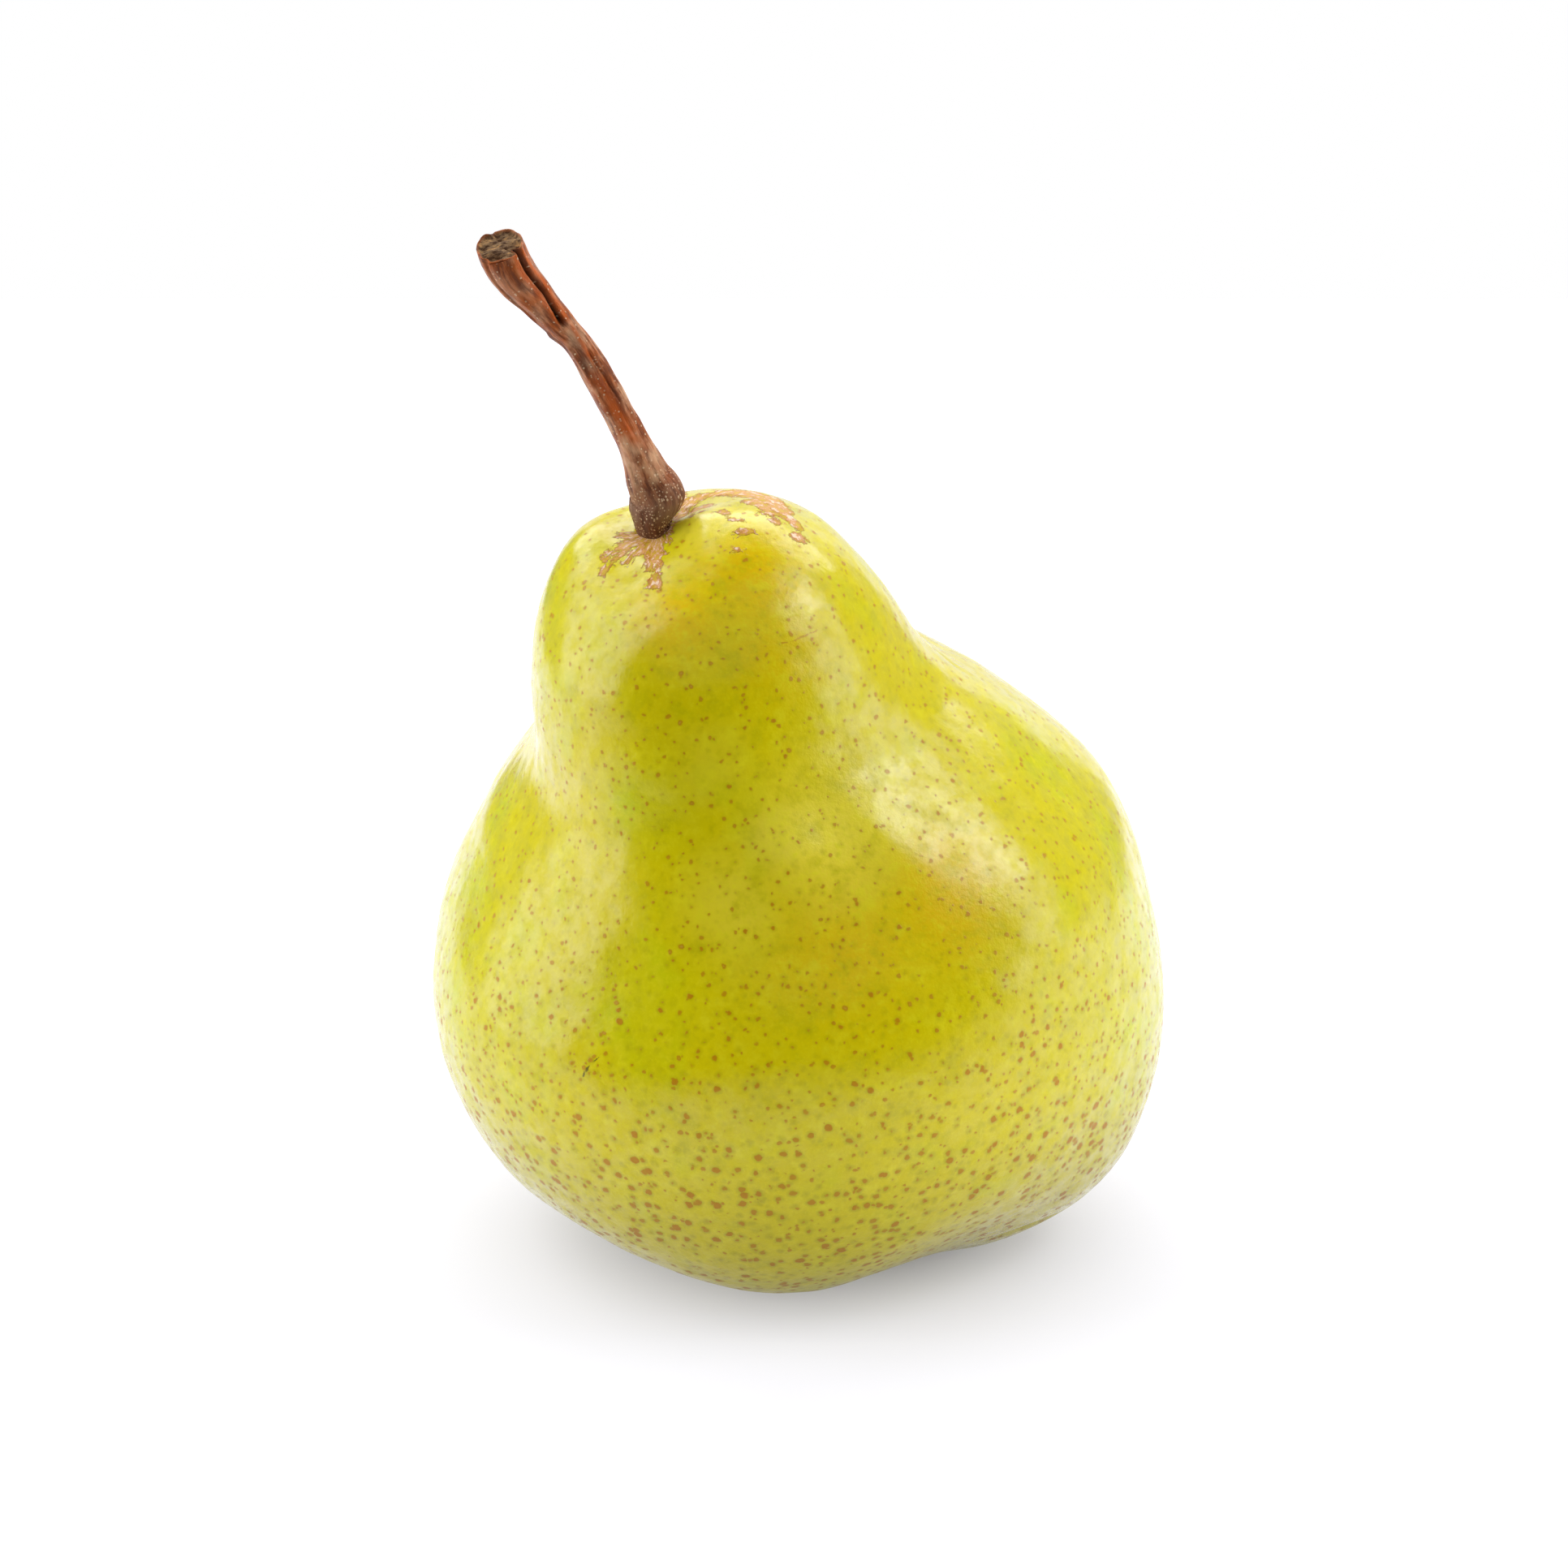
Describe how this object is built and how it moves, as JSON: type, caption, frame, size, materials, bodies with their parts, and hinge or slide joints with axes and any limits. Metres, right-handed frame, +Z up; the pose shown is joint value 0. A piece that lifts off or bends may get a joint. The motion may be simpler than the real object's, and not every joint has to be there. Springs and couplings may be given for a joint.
{
  "type": "pear",
  "caption": "Ripe yellow-green pear with a leaning, lopsided neck and a curved woody stem, standing on a small flat spot under its base.",
  "frame": {"origin": "on the resting surface, under the middle of the part's box", "axes": "+Z up from the resting surface; -Y towards the side the picture shows; the neck leans to -X and -Y"},
  "size_m": [0.0722, 0.0714, 0.1039],
  "materials": {
    "ripe_skin": null,
    "stem_bark": "dry red-brown bark, wrinkled lengthwise, with a torn fibrous end",
    "dry_sepals": "dried dark brown sepals"
  },
  "bodies": {
    "root": {"fruit": "ripe_skin", "stem": "stem_bark", "calyx": "dry_sepals"}
  },
  "joints": []
}
